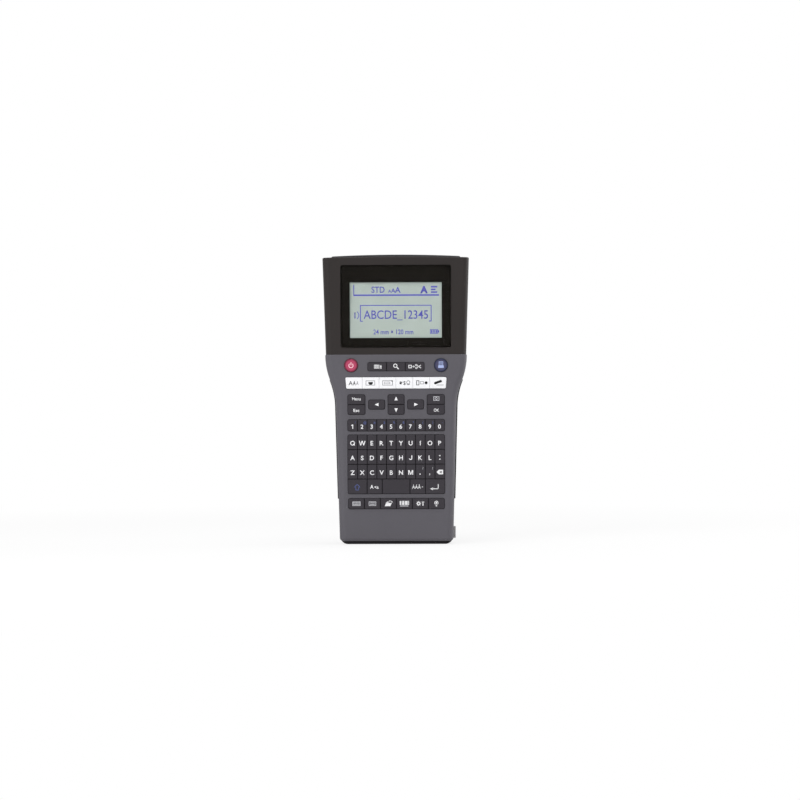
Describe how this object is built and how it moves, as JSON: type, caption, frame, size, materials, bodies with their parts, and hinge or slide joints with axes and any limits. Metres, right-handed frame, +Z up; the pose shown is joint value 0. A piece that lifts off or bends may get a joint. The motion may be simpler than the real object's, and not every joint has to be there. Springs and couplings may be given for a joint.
{
  "type": "label maker",
  "caption": "Handheld label maker with a tilted display head, a full letter keyboard, rubber side grips, a hinged back cover and a motor-driven tape feed, print head and cutter.",
  "frame": {"origin": "on the ground plane under the middle of the case, with the label maker standing on its flat lower end", "axes": "+Z up the length to the tape exit, -Y out of the key face and display, +X to the right as the user sees it"},
  "size_m": [0.116, 0.057, 0.2302],
  "materials": {
    "case_front": "fine moulded texture",
    "head_shell": "fine moulded texture",
    "case_rear": "fine moulded texture",
    "dark_trim": "satin",
    "grip_rubber": "matte",
    "window": "polished clear with a printed dark border",
    "viewer": "polished smoke clear",
    "lcd": "matte polariser",
    "light_box": "white moulding",
    "key_grey": "satin",
    "key_white": "satin",
    "key_red": "satin",
    "key_blue": "satin",
    "key_mat": "matte",
    "board": "solder mask",
    "steel": "zinc plated",
    "motor_can": "nickel plated",
    "gear_plastic": "natural acetal",
    "aluminium": "anodised",
    "cell": "printed sleeve",
    "contact": "nickel plated",
    "cassette": "satin",
    "tape": "laminated",
    "roller_rubber": "ground",
    "socket": "satin"
  },
  "bodies": {
    "case": {"front_case": "case_front", "head_cover": "head_shell", "display_window": "window", "lcd_panel": "lcd", "backlight": "light_box", "rear_case": "case_rear", "exit_cap": "dark_trim", "side_grips": "grip_rubber", "case_screws": "steel", "dc_jack": "socket", "usb_port": "contact", "main_board": "board", "keypad_mat": "key_mat", "batteries": "cell", "battery_contacts": "contact", "mech_plate": "steel", "feed_motor": "motor_can", "print_head": "aluminium", "cassette_case": "cassette", "label_tape": "tape", "fixed_blade": "steel", "cutter_motor": "motor_can"},
    "back_cover": {"back_cover": "case_rear", "tape_viewer": "viewer"},
    "cover_lever": {"cover_lever": "dark_trim"},
    "roller_holder": {"roller_holder": "steel"},
    "platen": {"platen_shaft": "steel", "platen_roller": "roller_rubber"},
    "release_lever": {"release_lever": "gear_plastic"},
    "motor_pinion": {"motor_pinion": "gear_plastic"},
    "reduction_gear": {"reduction_gear": "gear_plastic"},
    "idler_gear": {"idler_gear": "gear_plastic"},
    "ribbon_spindle": {"ribbon_spindle": "gear_plastic"},
    "moving_blade": {"moving_blade": "steel"},
    "cutter_pinion": {"cutter_pinion": "gear_plastic"},
    "edit_keys": {"edit_keys": "key_grey"},
    "function_keys": {"function_keys": "key_grey"},
    "key_align": {"key_align": "key_white"},
    "key_cancel": {"key_cancel": "key_grey"},
    "key_down": {"key_down": "key_grey"},
    "key_escape": {"key_escape": "key_grey"},
    "key_feed": {"key_feed": "key_grey"},
    "key_font": {"key_font": "key_white"},
    "key_frame": {"key_frame": "key_white"},
    "key_left": {"key_left": "key_grey"},
    "key_menu": {"key_menu": "key_grey"},
    "key_ok": {"key_ok": "key_grey"},
    "key_power": {"key_power": "key_red"},
    "key_preview": {"key_preview": "key_grey"},
    "key_print": {"key_print": "key_blue"},
    "key_right": {"key_right": "key_grey"},
    "key_size": {"key_size": "key_white"},
    "key_style": {"key_style": "key_white"},
    "key_up": {"key_up": "key_grey"},
    "key_width": {"key_width": "key_white"},
    "key_zoom": {"key_zoom": "key_grey"},
    "letter_keys_lower": {"letter_keys_lower": "key_grey"},
    "letter_keys_middle": {"letter_keys_middle": "key_grey"},
    "letter_keys_upper": {"letter_keys_upper": "key_grey"},
    "number_keys": {"number_keys": "key_grey"}
  },
  "joints": [
    {"name": "back_cover_hinge", "type": "hinge", "parent": "case", "child": "back_cover", "pos_m": [0, 0.01116, 0.0111], "axis": [-1, 0, 0], "range_deg": [0, 75]},
    {"name": "blade_swing", "type": "hinge", "parent": "case", "child": "moving_blade", "pos_m": [-0.02746, -0.0093, 0.2145], "axis": [0, 0, -1], "range_deg": [0, 10]},
    {"name": "cover_lever_tilt", "type": "hinge", "parent": "back_cover", "child": "cover_lever", "pos_m": [0, 0.0263, 0.20165], "axis": [1, 0, 0], "range_deg": [0, 12], "stiffness_Nm_per_rad": 0.05},
    {"name": "cutter_pinion_spin", "type": "hinge", "parent": "case", "child": "cutter_pinion", "pos_m": [-0.01511, -0.01184, 0.2145], "axis": [0, 0, -1], "range_deg": [-25, 0]},
    {"name": "holder_swing", "type": "hinge", "parent": "case", "child": "roller_holder", "pos_m": [-0.0305, 0, 0.205], "axis": [0, 1, 0], "range_deg": [0, 7]},
    {"name": "idler_spin", "type": "hinge", "parent": "case", "child": "idler_gear", "pos_m": [-0.01016, -0.01114, 0.17646], "axis": [0, 1, 0], "continuous": true},
    {"name": "motor_pinion_spin", "type": "hinge", "parent": "case", "child": "motor_pinion", "pos_m": [-0.034, -0.01114, 0.149], "axis": [0, 1, 0], "continuous": true},
    {"name": "platen_spin", "type": "hinge", "parent": "roller_holder", "child": "platen", "pos_m": [-0.03025, -0.01114, 0.18], "axis": [0, 1, 0], "continuous": true},
    {"name": "reduction_spin", "type": "hinge", "parent": "case", "child": "reduction_gear", "pos_m": [-0.02072, -0.01114, 0.16115], "axis": [0, 1, 0], "continuous": true},
    {"name": "release_lever_swing", "type": "hinge", "parent": "case", "child": "release_lever", "pos_m": [-0.0458, 0, 0.16], "axis": [0, 1, 0], "range_deg": [0, 60]},
    {"name": "ribbon_spindle_spin", "type": "hinge", "parent": "case", "child": "ribbon_spindle", "pos_m": [0.00373, -0.01114, 0.193], "axis": [0, 1, 0], "continuous": true},
    {"name": "edit_keys_press", "type": "slide", "parent": "case", "child": "edit_keys", "axis": [0, 1, 0], "range_m": [0, 0.001], "stiffness_N_per_m": 800},
    {"name": "function_keys_press", "type": "slide", "parent": "case", "child": "function_keys", "axis": [0, 1, 0], "range_m": [0, 0.001], "stiffness_N_per_m": 800},
    {"name": "key_align_press", "type": "slide", "parent": "case", "child": "key_align", "axis": [0, 1, 0], "range_m": [0, 0.001], "stiffness_N_per_m": 800},
    {"name": "key_cancel_press", "type": "slide", "parent": "case", "child": "key_cancel", "axis": [0, 1, 0], "range_m": [0, 0.001], "stiffness_N_per_m": 800},
    {"name": "key_down_press", "type": "slide", "parent": "case", "child": "key_down", "axis": [0, 1, 0], "range_m": [0, 0.001], "stiffness_N_per_m": 800},
    {"name": "key_escape_press", "type": "slide", "parent": "case", "child": "key_escape", "axis": [0, 1, 0], "range_m": [0, 0.001], "stiffness_N_per_m": 800},
    {"name": "key_feed_press", "type": "slide", "parent": "case", "child": "key_feed", "axis": [0, 1, 0], "range_m": [0, 0.001], "stiffness_N_per_m": 800},
    {"name": "key_font_press", "type": "slide", "parent": "case", "child": "key_font", "axis": [0, 1, 0], "range_m": [0, 0.001], "stiffness_N_per_m": 800},
    {"name": "key_frame_press", "type": "slide", "parent": "case", "child": "key_frame", "axis": [0, 1, 0], "range_m": [0, 0.001], "stiffness_N_per_m": 800},
    {"name": "key_left_press", "type": "slide", "parent": "case", "child": "key_left", "axis": [0, 1, 0], "range_m": [0, 0.001], "stiffness_N_per_m": 800},
    {"name": "key_menu_press", "type": "slide", "parent": "case", "child": "key_menu", "axis": [0, 1, 0], "range_m": [0, 0.001], "stiffness_N_per_m": 800},
    {"name": "key_ok_press", "type": "slide", "parent": "case", "child": "key_ok", "axis": [0, 1, 0], "range_m": [0, 0.001], "stiffness_N_per_m": 800},
    {"name": "key_power_press", "type": "slide", "parent": "case", "child": "key_power", "axis": [0, 1, 0], "range_m": [0, 0.001], "stiffness_N_per_m": 800, "deforming": ["keypad_mat"]},
    {"name": "key_preview_press", "type": "slide", "parent": "case", "child": "key_preview", "axis": [0, 1, 0], "range_m": [0, 0.001], "stiffness_N_per_m": 800},
    {"name": "key_print_press", "type": "slide", "parent": "case", "child": "key_print", "axis": [0, 1, 0], "range_m": [0, 0.001], "stiffness_N_per_m": 800},
    {"name": "key_right_press", "type": "slide", "parent": "case", "child": "key_right", "axis": [0, 1, 0], "range_m": [0, 0.001], "stiffness_N_per_m": 800},
    {"name": "key_size_press", "type": "slide", "parent": "case", "child": "key_size", "axis": [0, 1, 0], "range_m": [0, 0.001], "stiffness_N_per_m": 800},
    {"name": "key_style_press", "type": "slide", "parent": "case", "child": "key_style", "axis": [0, 1, 0], "range_m": [0, 0.001], "stiffness_N_per_m": 800},
    {"name": "key_up_press", "type": "slide", "parent": "case", "child": "key_up", "axis": [0, 1, 0], "range_m": [0, 0.001], "stiffness_N_per_m": 800},
    {"name": "key_width_press", "type": "slide", "parent": "case", "child": "key_width", "axis": [0, 1, 0], "range_m": [0, 0.001], "stiffness_N_per_m": 800},
    {"name": "key_zoom_press", "type": "slide", "parent": "case", "child": "key_zoom", "axis": [0, 1, 0], "range_m": [0, 0.001], "stiffness_N_per_m": 800},
    {"name": "letter_keys_lower_press", "type": "slide", "parent": "case", "child": "letter_keys_lower", "axis": [0, 1, 0], "range_m": [0, 0.001], "stiffness_N_per_m": 800},
    {"name": "letter_keys_middle_press", "type": "slide", "parent": "case", "child": "letter_keys_middle", "axis": [0, 1, 0], "range_m": [0, 0.001], "stiffness_N_per_m": 800},
    {"name": "letter_keys_upper_press", "type": "slide", "parent": "case", "child": "letter_keys_upper", "axis": [0, 1, 0], "range_m": [0, 0.001], "stiffness_N_per_m": 800},
    {"name": "number_keys_press", "type": "slide", "parent": "case", "child": "number_keys", "axis": [0, 1, 0], "range_m": [0, 0.001], "stiffness_N_per_m": 800}
  ],
  "couplings": [
    {"joint": "motor_pinion_spin", "follows": "reduction_spin", "ratio": -4},
    {"joint": "idler_spin", "follows": "reduction_spin", "ratio": -0.29167},
    {"joint": "platen_spin", "follows": "reduction_spin", "ratio": 0.7},
    {"joint": "ribbon_spindle_spin", "follows": "reduction_spin", "ratio": 0.58333},
    {"joint": "release_lever_swing", "follows": "holder_swing", "ratio": 8.5714},
    {"joint": "cutter_pinion_spin", "follows": "blade_swing", "ratio": -2.5}
  ]
}
